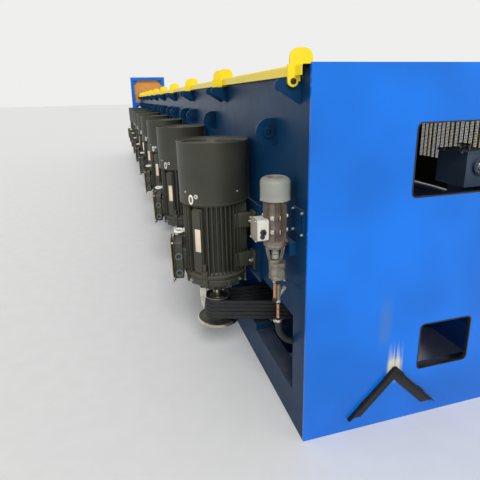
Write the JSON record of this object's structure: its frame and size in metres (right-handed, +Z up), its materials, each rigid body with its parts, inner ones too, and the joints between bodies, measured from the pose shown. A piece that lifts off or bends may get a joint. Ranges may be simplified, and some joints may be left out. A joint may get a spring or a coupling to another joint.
{
  "type": "wire drawing machine",
  "caption": "Straight-line wire drawing machine: a blue box frame with vertical capstans under flip-up yellow hoods, and vertical belt-drive motors along its rear wall.",
  "frame": {"origin": "on the floor, under the middle cross sill, at mid-length and mid-depth of the frame", "axes": "+Z up, +X along the row towards the end that the picture shows, +Y towards the operator's side, away from the motors"},
  "size_m": [11.996, 1.8882, 2.25],
  "materials": {
    "frame_paint": "glossy bright blue enamel",
    "wall_paint": "glossy blue enamel",
    "hood_paint": "glossy yellow enamel",
    "motor_paint": "semi-matt dark olive grey paint",
    "zinc_steel": "zinc plated",
    "belt_rubber": "worn black rubber",
    "gearbox_paint": "oily blue paint",
    "pulley_iron": "turned cast iron",
    "hard_steel": "ground steel",
    "cast_paint": "grey blue paint",
    "pump_silver": "silver grey paint",
    "pump_iron": "bare casting",
    "copper_fittings": "copper and brass fittings with a grey strainer body",
    "hose_rubber": "black rubber hose",
    "black_steel": "black primed angle iron",
    "tan_panel": "tan sheet"
  },
  "bodies": {
    "machine": {"rear_base_rail": "frame_paint", "front_base_rail": "frame_paint", "cross_sills": "frame_paint", "rear_columns": "frame_paint", "front_columns": "frame_paint", "rear_wall": "wall_paint", "near_end_plate": "frame_paint", "far_end_plate": "frame_paint", "bulkheads": "frame_paint", "deck": "frame_paint", "front_panels": "frame_paint", "hinge_brackets": "wall_paint", "wall_lugs": "wall_paint", "slotted_cover": "wall_paint", "motor_plates": "wall_paint", "motor_cowls": "motor_paint", "motor_stators": "motor_paint", "motor_shields": "motor_paint", "terminal_boxes": "motor_paint", "lifting_eyes": "zinc_steel", "drive_belts": "belt_rubber", "gearboxes": "gearbox_paint", "gearbox_pulleys": "pulley_iron", "capstans": "hard_steel", "die_boxes": "cast_paint", "guide_rollers": "hard_steel", "pump_bracket": "wall_paint", "pump_motor": "pump_silver", "pump_body": "pump_iron", "pump_strainer": "copper_fittings", "suction_hose": "hose_rubber", "weld_angle": "black_steel", "exit_frame": "frame_paint", "exit_panel": "tan_panel"},
    "hood_1": {"guard_hood_1": "hood_paint"},
    "hood_2": {"guard_hood_2": "hood_paint"},
    "hood_3": {"guard_hood_3": "hood_paint"},
    "hood_4": {"guard_hood_4": "hood_paint"},
    "hood_5": {"guard_hood_5": "hood_paint"},
    "hood_6": {"guard_hood_6": "hood_paint"},
    "hood_7": {"guard_hood_7": "hood_paint"},
    "hood_8": {"guard_hood_8": "hood_paint"},
    "hood_9": {"guard_hood_9": "hood_paint"},
    "pulley_1": {"drive_pulley_1": "pulley_iron"},
    "pulley_2": {"drive_pulley_2": "pulley_iron"},
    "pulley_3": {"drive_pulley_3": "pulley_iron"},
    "pulley_4": {"drive_pulley_4": "pulley_iron"},
    "pulley_5": {"drive_pulley_5": "pulley_iron"},
    "pulley_6": {"drive_pulley_6": "pulley_iron"},
    "pulley_7": {"drive_pulley_7": "pulley_iron"},
    "pulley_8": {"drive_pulley_8": "pulley_iron"},
    "pulley_9": {"drive_pulley_9": "pulley_iron"}
  },
  "joints": [
    {"name": "hood_1_hinge", "type": "hinge", "parent": "machine", "child": "hood_1", "pos_m": [5.2425, -0.74, 1.674], "axis": [1, 0, 0], "range_deg": [0, 60]},
    {"name": "hood_2_hinge", "type": "hinge", "parent": "machine", "child": "hood_2", "pos_m": [3.9, -0.74, 1.674], "axis": [1, 0, 0], "range_deg": [0, 60]},
    {"name": "hood_3_hinge", "type": "hinge", "parent": "machine", "child": "hood_3", "pos_m": [2.6, -0.74, 1.674], "axis": [1, 0, 0], "range_deg": [0, 60]},
    {"name": "hood_4_hinge", "type": "hinge", "parent": "machine", "child": "hood_4", "pos_m": [1.3, -0.74, 1.674], "axis": [1, 0, 0], "range_deg": [0, 60]},
    {"name": "hood_5_hinge", "type": "hinge", "parent": "machine", "child": "hood_5", "pos_m": [0, -0.74, 1.674], "axis": [1, 0, 0], "range_deg": [0, 60]},
    {"name": "hood_6_hinge", "type": "hinge", "parent": "machine", "child": "hood_6", "pos_m": [-1.3, -0.74, 1.674], "axis": [1, 0, 0], "range_deg": [0, 60]},
    {"name": "hood_7_hinge", "type": "hinge", "parent": "machine", "child": "hood_7", "pos_m": [-2.6, -0.74, 1.674], "axis": [1, 0, 0], "range_deg": [0, 60]},
    {"name": "hood_8_hinge", "type": "hinge", "parent": "machine", "child": "hood_8", "pos_m": [-3.9, -0.74, 1.674], "axis": [1, 0, 0], "range_deg": [0, 60]},
    {"name": "hood_9_hinge", "type": "hinge", "parent": "machine", "child": "hood_9", "pos_m": [-5.2425, -0.74, 1.674], "axis": [1, 0, 0], "range_deg": [0, 60]},
    {"name": "pulley_1_spin", "type": "hinge", "parent": "machine", "child": "pulley_1", "pos_m": [5.1, -0.915, 0.3], "axis": [0, 0, 1], "continuous": true},
    {"name": "pulley_2_spin", "type": "hinge", "parent": "machine", "child": "pulley_2", "pos_m": [3.8, -0.915, 0.3], "axis": [0, 0, 1], "continuous": true},
    {"name": "pulley_3_spin", "type": "hinge", "parent": "machine", "child": "pulley_3", "pos_m": [2.5, -0.915, 0.3], "axis": [0, 0, 1], "continuous": true},
    {"name": "pulley_4_spin", "type": "hinge", "parent": "machine", "child": "pulley_4", "pos_m": [1.2, -0.915, 0.3], "axis": [0, 0, 1], "continuous": true},
    {"name": "pulley_5_spin", "type": "hinge", "parent": "machine", "child": "pulley_5", "pos_m": [-0.1, -0.915, 0.3], "axis": [0, 0, 1], "continuous": true},
    {"name": "pulley_6_spin", "type": "hinge", "parent": "machine", "child": "pulley_6", "pos_m": [-1.4, -0.915, 0.3], "axis": [0, 0, 1], "continuous": true},
    {"name": "pulley_7_spin", "type": "hinge", "parent": "machine", "child": "pulley_7", "pos_m": [-2.7, -0.915, 0.3], "axis": [0, 0, 1], "continuous": true},
    {"name": "pulley_8_spin", "type": "hinge", "parent": "machine", "child": "pulley_8", "pos_m": [-4, -0.915, 0.3], "axis": [0, 0, 1], "continuous": true},
    {"name": "pulley_9_spin", "type": "hinge", "parent": "machine", "child": "pulley_9", "pos_m": [-5.3, -0.915, 0.3], "axis": [0, 0, 1], "continuous": true}
  ]
}
